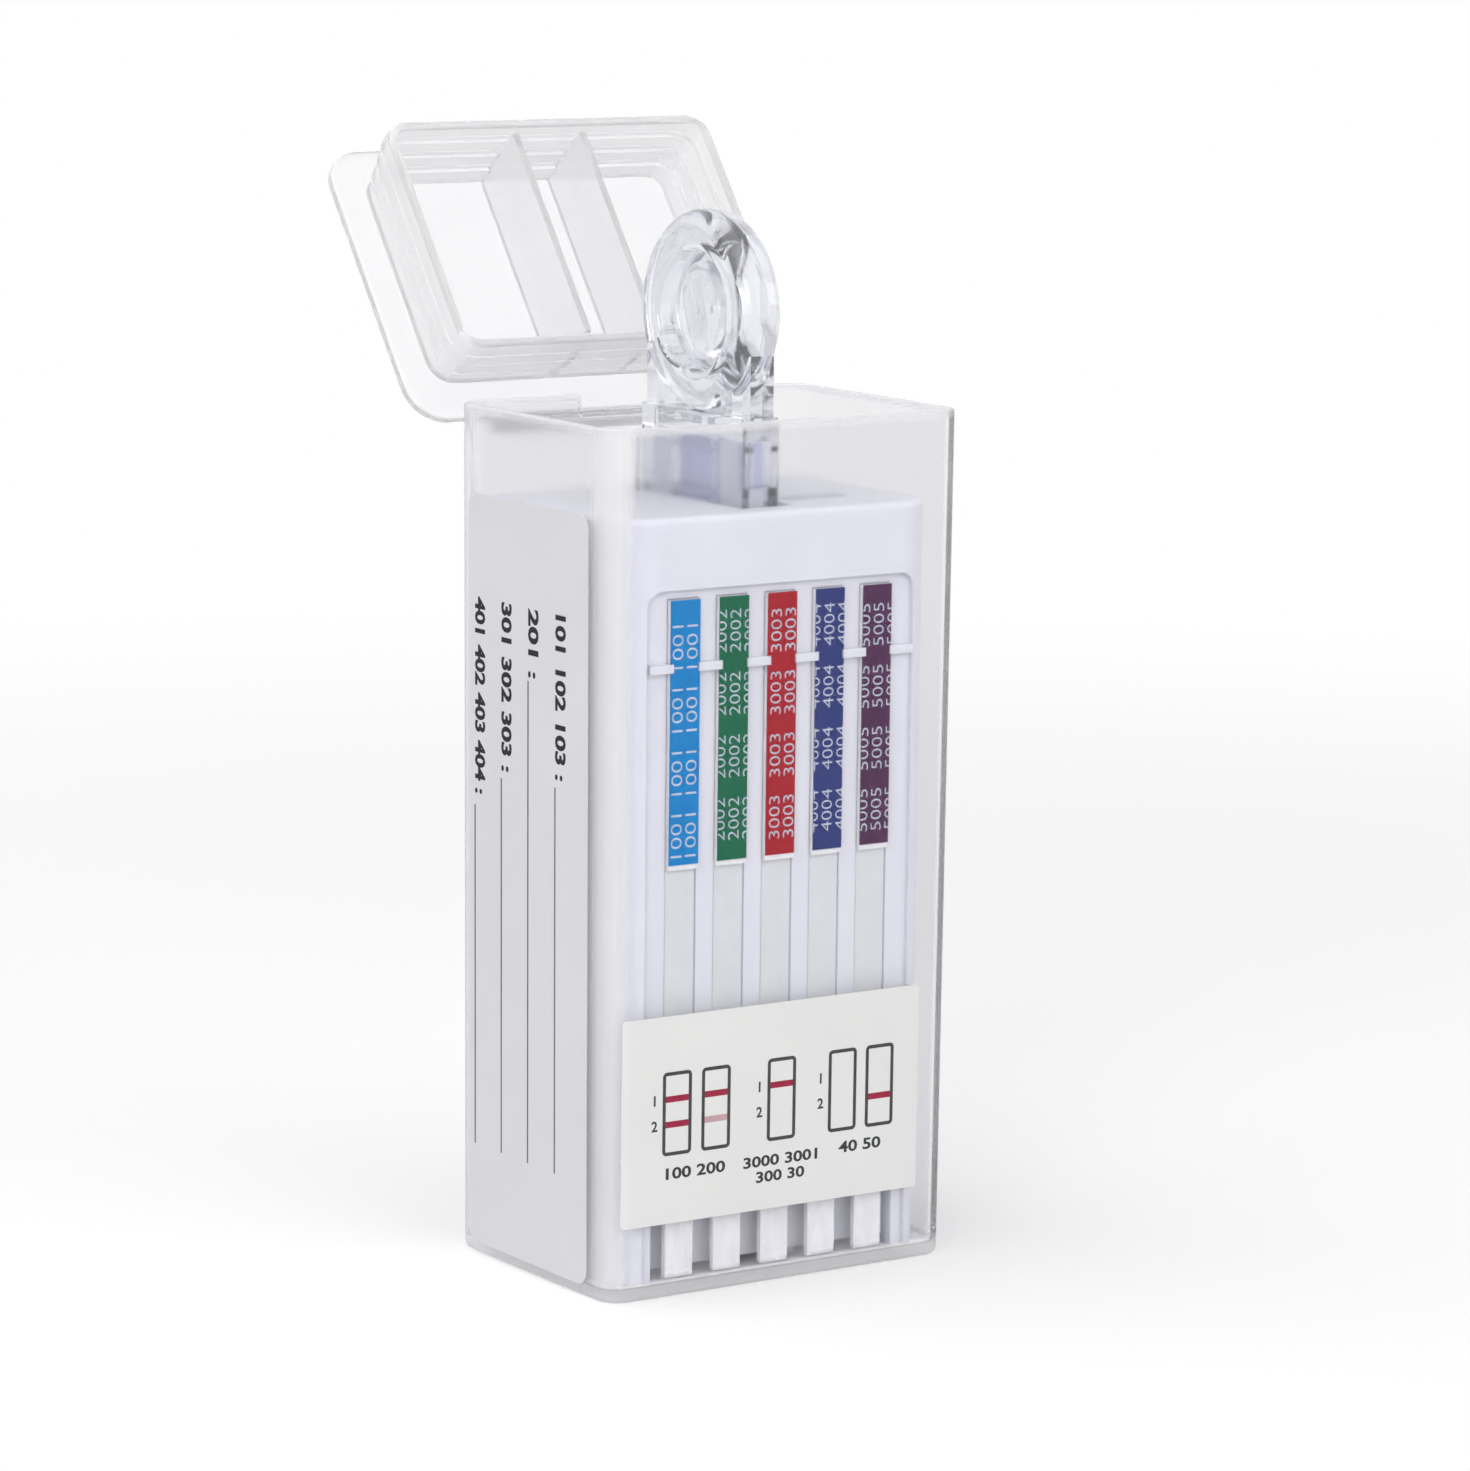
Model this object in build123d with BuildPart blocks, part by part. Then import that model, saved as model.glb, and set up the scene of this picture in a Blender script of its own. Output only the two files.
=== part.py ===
import os
from math import cos, radians, sin, tan

from build123d import *

# Oral fluid test kit: a clear upright container with a living-hinged lid,
# a push-down collector with a ring handle, and a carrier with test strips.
# Origin: centre of the container's base. +Z up, strips face -Y.

# Container
body_width = 48.8            # outer size at the rim
body_depth = 35.2
body_height = 101.4
body_corner = 3.6            # plan radius of the corners at the rim
body_wall = 1.05
body_floor = 1.6
body_draft = 0.28            # degrees, each side narrows towards the base
base_round = 0.8
rim_round = 0.3
notch_width = 14.6           # notch in the rear rim, above the hinge ledge
notch_depth = 2.8
notch_round = 0.6
cut_over = 1.0               # how far cuts and roots run past a face

# Living hinge
hinge_back = 3.35            # hinge line behind the rear wall
hinge_drop = 2.35            # hinge line below the rim
hinge_width = 29.4
hinge_leaf = 0.7             # thickness of the leaves on both sides
hinge_gap = 0.08             # between the ledge and the lid's bead
lid_open = 126.9             # degrees open in the modelled pose

# Lid
flange_overhang = 1.3        # past each side wall and round the corners
flange_front = 0.65          # past the front wall
flange_rear = 2.05           # past the rear wall
flange_round = 0.45
plate_thickness = 1.3
seat_gap = 0.1               # between the flange and the rim when closed
plug_height = 10.3
plug_corner = 3.1            # plan radius of the crest
plug_wall = 1.2
plug_side_gap = 0.45         # crest to the container's side and rear walls
plug_front_gap = 1.0         # more room in front, where the crest swings in
plug_steps = 4               # sealing steps, each wider than the one before
plug_step_out = 0.4
crest_round = 0.4
fin_spacing = 9.5
fin_thickness = 0.9
fin_height = 9.7

# Collector
ring_thickness = 5.8
hole_share = 0.61            # dished hole's radius, as a share of the ring's
ring_outer_round = 2.4
lip_share = 0.22             # rounding of the hole's lip, as a share of the ring's wall
ring_rise = 11.15            # ring centre above the rim
lens_share = 0.8             # lens radius, as a share of the hole's
lens_thickness = 3.8         # domed disc in the middle of the hole
lens_edge = 1.8
web_thickness = 1.0          # thin web between the lens and the ring
web_root = 0.5               # how far the web runs into the ring
blade_inset = 0.8            # blade's edges inside the ring's
blade_thickness = 5.0
blade_top_drop = 0.5         # blade's top edge below the rim
blade_length = 42.9
blade_round = 0.5
leg_width = 3.8
leg_thickness = 3.2
leg_height = 7.2
window_width = 8.4
window_heights = (1.2, 4.2, 4.2)
window_drops = (3.2, 5.0, 10.3)      # tops of the windows below the rim
vent_height = 0.9
vent_drop = 0.95
vent_widths = (1.6, 4.4, 1.6)
vent_pitch = 4.3
edge_slot_width = 2.4
edge_slot_height = 5.2
edge_slot_drop = 3.2
edge_slot_depth = 2.0
sleeve_wall = 1.2            # the blade is a flat hollow sleeve
indicator_thickness = 2.0
indicator_clearance = 0.3
sponge_inset = 1.0           # sponge's edges inside the blade's
sponge_thickness = 3.0
sponge_length = 20.0
sponge_socket = 6.0
sponge_clearance = 0.1
sponge_round = 1.2

# Strip carrier
carrier_side_gap = 1.65      # to the container's side walls at the rim
carrier_front_gap = 0.65
carrier_rear_gap = 3.05
carrier_drop = 10.6          # deck below the container's rim
carrier_front_corner = 5.0
carrier_rear_corner = 1.5
carrier_wall = 1.4
deck_thickness = 1.6
deck_round = 0.8
well_clearance_y = 0.5       # each side of the ring
well_clearance_x = 0.7
well_wall = 1.2
guide_clearance = 0.15       # running gap between the blade and its guides
guide_width = 3.0            # along the blade, at each of its edges
guide_below = 8.0            # guides run past the blade's end, down and up
guide_above = 12.5
well_floor_height = 9.0
well_floor = 1.2
drain_hole_radius = 1.0
drain_pitch = 5.0
drain_count = 4
rib_thickness = 1.2
front_wall = 3.6             # wall behind the strips
panel_side = 3.2             # recessed panel around the strips, from the carrier's sides
panel_drop = 8.3             # panel's top below the deck
panel_recess = 0.9
panel_corner = 2.0
foot_width = 1.5             # panel's edge to the opening between the feet
foot_gap_height = 14.0
foot_depth = 1.3             # behind the strip channels
weep_height = 1.0            # openings into the chambers at the foot
nub_drop = 7.8               # nubs below the tapes' top
nub_size = 1.0
nub_overhang = 0.25
nub_head = 0.25
nub_gap = 0.05               # between the nubs' heads and the tapes
port_width = 9.0             # opening in the deck beside the well
port_depth = 3.6
port_x = 9.9
port_y = -6.4
port_round = 0.6

# Test strips
strip_count = 5
strip_spacing = 0.18         # pitch of the strips, as a share of the panel's width
strip_width = 4.0
channel_clearance = 0.15
channel_depth = 0.6
card_thickness = 0.3
card_bottom = 12.0
card_drop = 1.2              # card's top below the panel's top
sample_pad_bottom = 1.8
sample_pad_top = 20.0
sample_pad_thickness = 0.7
conjugate_pad_thickness = 0.3
conjugate_pad_length = 10.0
membrane_thickness = 0.15
membrane_length = 26.0
strip_overlap = 2.0          # how far each pad laps over the next piece
absorbent_pad_thickness = 0.8
tape_thickness = 0.15
tape_lap = 1.4               # tape's lower end below the membrane's top

# Labels
label_thickness = 0.12
key_label_left = 2.2         # from the left wall
key_label_right = 5.3        # from the right wall
key_label_bottom = 8.9
key_label_height = 24.5
side_label_front = 5.2       # from the front wall
side_label_rear = 3.8        # from the rear wall
side_label_bottom = 1.4
side_label_drop = 10.2       # label's top below the rim
key_label_corner = 0.4
side_label_corner = 1.8

# Worked-out places
hinge_y = body_depth / 2 + hinge_back
hinge_z = body_height - hinge_drop
seat_n = -hinge_drop - seat_gap
flange_width = body_width + 2 * flange_overhang
flange_depth = body_depth + flange_front + flange_rear
flange_corner = body_corner + flange_overhang
flange_shift = (flange_rear - flange_front) / 2
carrier_width = body_width - 2 * (body_wall + carrier_side_gap)
carrier_front = body_depth / 2 - body_wall - carrier_front_gap
carrier_rear = body_depth / 2 - body_wall - carrier_rear_gap
carrier_height = body_height - carrier_drop
well_half_y = carrier_rear - well_wall
ring_radius = well_half_y - well_clearance_y
ring_hole = hole_share * ring_radius
lip_round = lip_share * (ring_radius - ring_hole)
lens_radius = lens_share * ring_hole
blade_width = 2 * (ring_radius - blade_inset)
sponge_width = blade_width - 2 * sponge_inset
ring_z = body_height + ring_rise
blade_top = body_height - blade_top_drop
blade_bottom = blade_top - blade_length
socket_top = blade_bottom + sponge_socket
sleeve_width = blade_width - 2 * sleeve_wall
sleeve_top = body_height - window_drops[0]
panel_face = -carrier_front + panel_recess
panel_width = carrier_width - 2 * panel_side
panel_top = carrier_height - panel_drop
channel_floor = panel_face + channel_depth
well_half_x = ring_thickness / 2 + well_clearance_x
deck_under = carrier_height - deck_thickness
strip_pitch = strip_spacing * panel_width
card_top = panel_top - card_drop
conjugate_top = sample_pad_top - strip_overlap + conjugate_pad_length
membrane_bottom = conjugate_top - strip_overlap
membrane_top = membrane_bottom + membrane_length
absorbent_bottom = membrane_top - strip_overlap
tape_bottom = membrane_top - tape_lap
tape_top = card_top


def drafted_block(grow, z_low, z_high):
    # block with the container's rounded, drafted sides, grown outwards by grow
    inset = (body_height - z_low) * tan(radians(body_draft)) - grow
    with BuildPart() as block:
        with BuildSketch(Plane.XY.offset(z_low)):
            RectangleRounded(body_width - 2 * inset, body_depth - 2 * inset, body_corner - inset)
        extrude(amount=z_high - z_low, taper=-body_draft)
    return block.part


def save(piece, name):
    piece.part.label = name
    export_step(piece.part, f"parts/{name}.step")


os.makedirs("parts", exist_ok=True)

# Container with its floor, rim notch and hinge ledge
body_outside = drafted_block(0, 0, body_height)
body_inside = drafted_block(-body_wall, body_floor, body_height + cut_over)
with BuildPart() as container:
    add(body_outside)
    fillet(container.faces().sort_by(Axis.Z)[0].edges(), base_round)
    add(body_inside, mode=Mode.SUBTRACT)
    fillet(container.faces().sort_by(Axis.Z)[-1].edges(), rim_round)
    with BuildSketch(Plane.XZ.offset(-body_depth / 2)) as notch:
        with Locations((0, body_height)):
            Rectangle(notch_width, 2 * notch_depth)
        fillet(notch.vertices().group_by(Axis.Y)[0], notch_round)
    extrude(amount=2 * body_wall, both=True, mode=Mode.SUBTRACT)
    with BuildSketch(Plane.YZ) as ledge:
        ledge_end = hinge_y - hinge_leaf / 2 - hinge_gap
        ledge_start = body_depth / 2 - body_wall / 2
        with Locations((ledge_start, hinge_z)):
            Rectangle(ledge_end - ledge_start, hinge_leaf, align=(Align.MIN, Align.CENTER))
    extrude(amount=hinge_width / 2, both=True)
save(container, "container")

# Lid, drawn in its own plane: x across, y away from the hinge, z into the container
lid_normal = Vector(0, -sin(radians(lid_open)), -cos(radians(lid_open)))
lid_plane = Plane(origin=(0, hinge_y, hinge_z), x_dir=(1, 0, 0), z_dir=lid_normal)
lid_axis = Axis((0, hinge_y, hinge_z), lid_normal)
seat_plane = lid_plane.offset(seat_n)
crest_width = body_width - 2 * (body_wall + plug_side_gap)
crest_rear = body_depth / 2 - body_wall - plug_side_gap
crest_front = body_depth / 2 - body_wall - plug_front_gap
crest_depth = crest_rear + crest_front
crest_centre = hinge_y - (crest_rear - crest_front) / 2
step_height = plug_height / plug_steps
with BuildPart() as lid:
    with BuildSketch(seat_plane):
        with Locations((0, hinge_y - flange_shift)):
            RectangleRounded(flange_width, flange_depth, flange_corner)
    extrude(amount=-plate_thickness)
    flange_faces = lid.faces().filter_by(lid_plane)
    fillet(flange_faces.edges(), flange_round)
    for level in range(plug_steps):
        shrink = (plug_steps - 1 - level) * plug_step_out
        with BuildSketch(seat_plane.offset(level * step_height)):
            with Locations((0, crest_centre)):
                RectangleRounded(crest_width - 2 * shrink, crest_depth - 2 * shrink, plug_corner)
        extrude(amount=step_height)
    for level in range(plug_steps):
        shrink = (plug_steps - 1 - level) * plug_step_out + plug_wall
        with BuildSketch(seat_plane.offset(level * step_height)):
            with Locations((0, crest_centre)):
                RectangleRounded(crest_width - 2 * shrink, crest_depth - 2 * shrink, plug_corner - plug_wall)
        extrude(amount=step_height, mode=Mode.SUBTRACT)
    fillet(lid.faces().sort_by(lid_axis)[-1].edges(), crest_round)
    fin_length = crest_depth - 2 * (plug_steps - 1) * plug_step_out - plug_wall
    with BuildSketch(seat_plane):
        with Locations((0, crest_centre)):
            with GridLocations(fin_spacing, 0, 2, 1):
                Rectangle(fin_thickness, fin_length)
    extrude(amount=fin_height)
    leaf_reach = hinge_y - flange_shift - flange_depth / 2 + flange_round + hinge_leaf
    with BuildSketch(lid_plane):
        Rectangle(hinge_width, hinge_leaf)
    extrude(amount=seat_n - plate_thickness)
    with BuildSketch(seat_plane):
        with Locations((0, -hinge_leaf / 2)):
            Rectangle(hinge_width, leaf_reach, align=(Align.CENTER, Align.MIN))
    extrude(amount=-plate_thickness)
    with BuildSketch(Plane.YZ):
        with Locations((hinge_y, hinge_z)):
            Circle(hinge_leaf / 2)
    extrude(amount=hinge_width / 2, both=True)
save(lid, "lid")

# Collector: ring handle with a lens, and a flat blade with windows
with BuildPart() as collector_handle:
    with BuildSketch(Plane.XZ) as ring_section:
        with Locations((0, ring_z + (ring_radius + ring_hole) / 2)):
            Rectangle(ring_thickness, ring_radius - ring_hole)
        fillet(ring_section.vertices().group_by(Axis.Y)[-1], ring_outer_round)
        fillet(ring_section.vertices().group_by(Axis.Y)[0], lip_round)
        with Locations((0, ring_z + lens_radius - web_root)):
            Rectangle(
                web_thickness,
                ring_hole - lens_radius + 2 * web_root,
                align=(Align.CENTER, Align.MIN),
            )
        with BuildLine():
            edge = lens_edge / 2
            crown = lens_thickness / 2
            sag = (lens_radius**2 + (crown - edge) ** 2) / (2 * (crown - edge))
            Line((-crown, ring_z), (crown, ring_z))
            RadiusArc((crown, ring_z), (edge, ring_z + lens_radius), -sag)
            Line((edge, ring_z + lens_radius), (-edge, ring_z + lens_radius))
            RadiusArc((-edge, ring_z + lens_radius), (-crown, ring_z), -sag)
        make_face()
    revolve(axis=Axis((0, 0, ring_z), (1, 0, 0)))
    # flat blade under the ring
    with BuildSketch(Plane.YZ):
        with Locations((0, blade_bottom)):
            Rectangle(blade_width, blade_length, align=(Align.CENTER, Align.MIN))
    extrude(amount=blade_thickness / 2, both=True)
    fillet(collector_handle.edges().filter_by(Axis.Z), blade_round)
    # legs that join the blade to the ring
    with BuildSketch(Plane.YZ):
        with Locations((0, blade_top - cut_over)):
            with GridLocations(blade_width - leg_width, 0, 2, 1):
                Rectangle(leg_width, leg_height + cut_over, align=(Align.CENTER, Align.MIN))
    extrude(amount=leg_thickness / 2, both=True)
    # windows and vents through the blade
    with BuildSketch(Plane.YZ):
        for drop, height in zip(window_drops, window_heights):
            with Locations((0, body_height - drop)):
                Rectangle(window_width, height, align=(Align.CENTER, Align.MAX))
        for place, width in enumerate(vent_widths):
            with Locations(((place - 1) * vent_pitch, body_height - vent_drop)):
                Rectangle(width, vent_height, align=(Align.CENTER, Align.MAX))
    extrude(amount=blade_thickness, both=True, mode=Mode.SUBTRACT)
    # hollow of the sleeve, which holds the indicator
    with BuildSketch(Plane.YZ):
        with Locations((0, socket_top)):
            Rectangle(sleeve_width, sleeve_top - socket_top, align=(Align.CENTER, Align.MIN))
    extrude(amount=indicator_thickness / 2 + indicator_clearance, both=True, mode=Mode.SUBTRACT)
    # socket for the sponge
    with BuildSketch(Plane.YZ):
        with Locations((0, blade_bottom)):
            Rectangle(sponge_width + 2 * sponge_clearance, sponge_socket, align=(Align.CENTER, Align.MIN))
    extrude(amount=sponge_thickness / 2 + sponge_clearance, both=True, mode=Mode.SUBTRACT)
    # slots in both edges of the blade
    for side in (-1, 1):
        with BuildSketch(Plane.XZ.offset(side * blade_width / 2)):
            with Locations((0, body_height - edge_slot_drop)):
                Rectangle(edge_slot_width, edge_slot_height, align=(Align.CENTER, Align.MAX))
        extrude(amount=-side * edge_slot_depth, mode=Mode.SUBTRACT)
save(collector_handle, "collector_handle")

with BuildPart() as saturation_indicator:
    with BuildSketch(Plane.YZ):
        with Locations((0, socket_top)):
            Rectangle(
                sleeve_width - 2 * indicator_clearance,
                sleeve_top - socket_top - indicator_clearance,
                align=(Align.CENTER, Align.MIN),
            )
    extrude(amount=indicator_thickness / 2, both=True)
save(saturation_indicator, "saturation_indicator")

with BuildPart() as collector_sponge:
    with BuildSketch(Plane.YZ) as sponge:
        with Locations((0, socket_top)):
            Rectangle(sponge_width, sponge_length, align=(Align.CENTER, Align.MAX))
        fillet(sponge.vertices().group_by(Axis.Y)[0], sponge_round)
    extrude(amount=sponge_thickness / 2, both=True)
save(collector_sponge, "collector_sponge")

# Strip carrier: thin-walled block with the well, side chambers and strip channels
chamber_width = (carrier_width / 2 - carrier_wall) - (well_half_x + well_wall)
chamber_x = well_half_x + well_wall + chamber_width / 2
front_inner = -carrier_front + front_wall
rib_height = carrier_height / 2
chamber_spans = (
    (body_floor, rib_height),
    (rib_height + rib_thickness, deck_under),
)
strip_places = [(place - (strip_count - 1) / 2) * strip_pitch for place in range(strip_count)]
with BuildPart() as strip_carrier:
    with BuildSketch(Plane.XY.offset(body_floor)) as outline:
        with Locations((0, -carrier_front)):
            Rectangle(carrier_width, carrier_front + carrier_rear, align=(Align.CENTER, Align.MIN))
        fillet(outline.vertices().group_by(Axis.Y)[0], carrier_front_corner)
        fillet(outline.vertices().group_by(Axis.Y)[-1], carrier_rear_corner)
    extrude(amount=carrier_height - body_floor)
    fillet(strip_carrier.faces().sort_by(Axis.Z)[-1].edges(), deck_round)
    for low, high in chamber_spans:
        with BuildSketch(Plane.XY.offset(low)):
            with GridLocations(2 * chamber_x, 0, 2, 1):
                Rectangle(chamber_width, 2 * carrier_rear)
            with Locations((0, -carrier_rear)):
                Rectangle(
                    carrier_width,
                    carrier_rear + front_inner,
                    align=(Align.CENTER, Align.MIN),
                    mode=Mode.SUBTRACT,
                )
        extrude(amount=high - low, mode=Mode.SUBTRACT)
    well_bottom = well_floor_height + well_floor
    # well for the collector, with the sump under its floor
    with BuildSketch(Plane.XY.offset(carrier_height)):
        Rectangle(2 * well_half_x, 2 * well_half_y)
    extrude(amount=-(carrier_height - well_bottom), mode=Mode.SUBTRACT)
    with BuildSketch(Plane.XY.offset(body_floor)):
        Rectangle(2 * well_half_x, 2 * well_half_y)
    extrude(amount=well_floor_height - body_floor, mode=Mode.SUBTRACT)
    with BuildSketch(Plane.XY.offset(well_floor_height)):
        with GridLocations(0, drain_pitch, 1, drain_count):
            Circle(drain_hole_radius)
    extrude(amount=well_floor, mode=Mode.SUBTRACT)
    with BuildSketch(Plane.XY.offset(carrier_height)):
        with Locations((port_x, port_y)):
            RectangleRounded(port_width, port_depth, port_round)
    extrude(amount=-deck_thickness, mode=Mode.SUBTRACT)
    # guides on the well's walls that hold both edges of the blade
    guide_length = guide_width + well_half_y - blade_width / 2
    guide_pitch = 2 * well_half_y - guide_length
    with BuildSketch(Plane.XY.offset(blade_bottom - guide_below)):
        with GridLocations(0, guide_pitch, 1, 2):
            Rectangle(2 * well_half_x, guide_length)
        Rectangle(
            blade_thickness + 2 * guide_clearance,
            blade_width + 2 * guide_clearance,
            mode=Mode.SUBTRACT,
        )
    extrude(amount=guide_below + guide_above)
    with BuildSketch(Plane.XZ.offset(carrier_front)) as panel:
        with Locations((0, body_floor)):
            Rectangle(panel_width, panel_top - body_floor, align=(Align.CENTER, Align.MIN))
        fillet(panel.vertices().group_by(Axis.Y)[-1], panel_corner)
    extrude(amount=-panel_recess, mode=Mode.SUBTRACT)
    # channels for the strips, open at the feet
    with BuildSketch(Plane.XZ.offset(-panel_face)):
        for place in strip_places:
            with Locations((place, body_floor)):
                Rectangle(
                    strip_width + 2 * channel_clearance,
                    card_top + channel_clearance - body_floor,
                    align=(Align.CENTER, Align.MIN),
                )
    extrude(amount=-channel_depth, mode=Mode.SUBTRACT)
    with BuildSketch(Plane.XZ.offset(carrier_front)):
        with Locations((0, body_floor)):
            Rectangle(panel_width - 2 * foot_width, foot_gap_height - body_floor, align=(Align.CENTER, Align.MIN))
    extrude(amount=-(carrier_front + channel_floor + foot_depth), mode=Mode.SUBTRACT)
    with BuildSketch(Plane.XZ.offset(carrier_front)):
        with Locations((0, body_floor)):
            Rectangle(panel_width - 2 * foot_width, weep_height, align=(Align.CENTER, Align.MIN))
    extrude(amount=-front_wall, mode=Mode.SUBTRACT)
    # nubs that hold the strips in their channels
    tape_face = -(channel_floor - card_thickness - absorbent_pad_thickness - tape_thickness)
    nub_post = strip_pitch - strip_width - 2 * channel_clearance
    with BuildSketch(Plane.XZ.offset(-panel_face)):
        with Locations((0, tape_top - nub_drop)):
            with GridLocations(strip_pitch, 0, strip_count + 1, 1):
                Rectangle(nub_post, nub_size)
    extrude(amount=tape_face + nub_gap + panel_face)
    with BuildSketch(Plane.XZ.offset(tape_face + nub_gap)):
        with Locations((0, tape_top - nub_drop)):
            with GridLocations(strip_pitch, 0, strip_count + 1, 1):
                Rectangle(strip_pitch - strip_width + 2 * nub_overhang, nub_size)
    extrude(amount=nub_head)
save(strip_carrier, "strip_carrier")

# Test strips: card, pads and membrane in layers, with a coloured tape on top
card_face = channel_floor - card_thickness


def layer(name, place, back, thickness, bottom, top, lap=0.0, lap_at_top=True):
    # one strip layer, with its end lifted over the next layer by lap
    front = back - thickness
    with BuildPart() as piece:
        with BuildSketch(Plane.YZ.offset(place)):
            with BuildLine():
                if lap and lap_at_top:
                    Polyline(
                        (back, bottom), (front, bottom), (front, top), (back - lap, top),
                        (back - lap, top - strip_overlap), (back, top - strip_overlap), close=True,
                    )
                elif lap:
                    Polyline(
                        (back, top), (front, top), (front, bottom), (back - lap, bottom),
                        (back - lap, bottom + strip_overlap), (back, bottom + strip_overlap), close=True,
                    )
                else:
                    Polyline((back, bottom), (front, bottom), (front, top), (back, top), close=True)
            make_face()
        extrude(amount=strip_width / 2, both=True)
    save(piece, name)


for number, place in enumerate(strip_places, start=1):
    prefix = f"strip_{number}"
    layer(f"{prefix}_backing_card", place, channel_floor, card_thickness, card_bottom, card_top)
    layer(
        f"{prefix}_sample_pad", place, card_face, sample_pad_thickness,
        sample_pad_bottom, sample_pad_top, lap=conjugate_pad_thickness,
    )
    layer(
        f"{prefix}_conjugate_pad", place, card_face, conjugate_pad_thickness,
        sample_pad_top - strip_overlap, conjugate_top, lap=membrane_thickness,
    )
    layer(f"{prefix}_membrane", place, card_face, membrane_thickness, membrane_bottom, membrane_top)
    layer(
        f"{prefix}_absorbent_pad", place, card_face, absorbent_pad_thickness,
        absorbent_bottom, card_top, lap=membrane_thickness, lap_at_top=False,
    )
    layer(
        f"{prefix}_color_tape", place, card_face - absorbent_pad_thickness, tape_thickness,
        tape_bottom, tape_top,
    )

# Labels stuck on the drafted outer walls
label_skin = drafted_block(label_thickness, 0, body_height)
with BuildPart() as key_label:
    add(label_skin)
    add(body_outside, mode=Mode.SUBTRACT)
    with BuildSketch(Plane.XZ) as key_outline:
        with Locations((key_label_left - body_width / 2, key_label_bottom)):
            Rectangle(
                body_width - key_label_left - key_label_right,
                key_label_height,
                align=(Align.MIN, Align.MIN),
            )
        fillet(key_outline.vertices(), key_label_corner)
    extrude(amount=body_depth, mode=Mode.INTERSECT)
save(key_label, "key_label")

with BuildPart() as side_label:
    add(label_skin)
    add(body_outside, mode=Mode.SUBTRACT)
    with BuildSketch(Plane.YZ) as side_outline:
        with Locations((side_label_front - body_depth / 2, side_label_bottom)):
            Rectangle(
                body_depth - side_label_front - side_label_rear,
                body_height - side_label_drop - side_label_bottom,
                align=(Align.MIN, Align.MIN),
            )
        fillet(side_outline.vertices(), side_label_corner)
    extrude(amount=-body_width, mode=Mode.INTERSECT)
save(side_label, "side_label")
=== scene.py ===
from math import cos, radians, sin, tan

import bpy
from mathutils import Matrix, Vector


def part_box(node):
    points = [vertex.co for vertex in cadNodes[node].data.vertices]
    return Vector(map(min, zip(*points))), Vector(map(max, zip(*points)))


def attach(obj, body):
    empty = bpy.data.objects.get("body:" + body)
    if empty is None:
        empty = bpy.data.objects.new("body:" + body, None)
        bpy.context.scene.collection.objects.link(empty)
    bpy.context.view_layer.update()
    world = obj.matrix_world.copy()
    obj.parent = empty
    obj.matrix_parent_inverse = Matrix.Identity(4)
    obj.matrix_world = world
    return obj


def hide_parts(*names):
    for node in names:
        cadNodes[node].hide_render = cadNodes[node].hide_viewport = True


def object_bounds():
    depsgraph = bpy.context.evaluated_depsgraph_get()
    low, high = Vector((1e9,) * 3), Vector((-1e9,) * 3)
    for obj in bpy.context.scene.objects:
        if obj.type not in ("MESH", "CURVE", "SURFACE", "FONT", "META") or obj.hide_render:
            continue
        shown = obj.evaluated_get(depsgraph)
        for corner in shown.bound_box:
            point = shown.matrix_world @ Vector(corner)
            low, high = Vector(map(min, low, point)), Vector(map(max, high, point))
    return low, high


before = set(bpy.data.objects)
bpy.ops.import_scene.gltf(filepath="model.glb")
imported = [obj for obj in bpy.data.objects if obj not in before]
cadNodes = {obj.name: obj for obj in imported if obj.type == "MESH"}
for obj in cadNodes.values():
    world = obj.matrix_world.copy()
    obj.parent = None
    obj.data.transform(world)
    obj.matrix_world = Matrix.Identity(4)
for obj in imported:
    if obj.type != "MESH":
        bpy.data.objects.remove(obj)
cadLow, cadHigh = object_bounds()
mm = 0.001

camera = {
    "azimuth": -33.673, "elevation": 9.418, "roll": 0.651,  # degrees
    "distance": 671.445, "target": (4.124, 0.0, 61.922),  # millimetres
    "lens": 138.77, "sensor": 36.0,
    "clip": (0.01, 50.0),  # metres
}
studio = {
    "floorSize": 14.0, "floorDrop": 0.00002,  # metres
    "floorColour": (0.88, 0.88, 0.885), "floorGlow": 0.22,
    "fadeStart": 0.2, "fadeEnd": 0.55,  # metres from the object to the plain white
    "skyLevel": 0.42, "skyColour": (1.0, 1.0, 1.0), "whiteLevel": 1.0,
    # a dark gap between the softboxes, which only clear and shiny plastic picks up
    "gapSide": (-0.832, 0.554, 0.1), "gapEdge": (0.885, 0.965), "gapLevel": 0.05,
    # name, place in metres, size in metres, power in watts
    "lamps": (
        ("topSoftbox", (-0.35, 0.1, 1.05), 1.1, 5.5),
        ("leftSoftbox", (-0.9, -0.75, 0.5), 0.5, 3.4),
        ("frontSoftbox", (0.35, -1.1, 0.45), 0.9, 3.0),
    ),
    "aim": (0.0, 0.0, 0.06),
}
container = {  # the drafted walls that the prints lie on, in millimetres, and their draft in degrees
    "width": 48.8, "depth": 35.2, "height": 101.4, "draft": 0.28, "label": 0.12,
}
grainSpread = (0.3, 0.7)  # the part of the noise that a finish spreads over its two ends
bumpDepth = {"wave": 0.0004, "grain": 0.0001, "fibre": 0.0003}  # metres
ink = {
    "depth": 0.03, "lift": 0.004,  # millimetres
    "grain": 900.0, "rough": 0.5, "shine": 0.2, "cornerSteps": 5, "curveSteps": 3,
    "seam": 0.0001,  # share of a text's size
}


def deselectAll():
    if bpy.context.mode != "OBJECT":
        bpy.ops.object.mode_set(mode="OBJECT")
    bpy.ops.object.select_all(action="DESELECT")


def makeActive(*objects):
    deselectAll()
    for item in objects:
        item.select_set(True)
    bpy.context.view_layer.objects.active = objects[-1]


def newPiece(name):
    piece = bpy.context.active_object
    piece.name = name
    piece.data.name = name
    return piece


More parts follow.
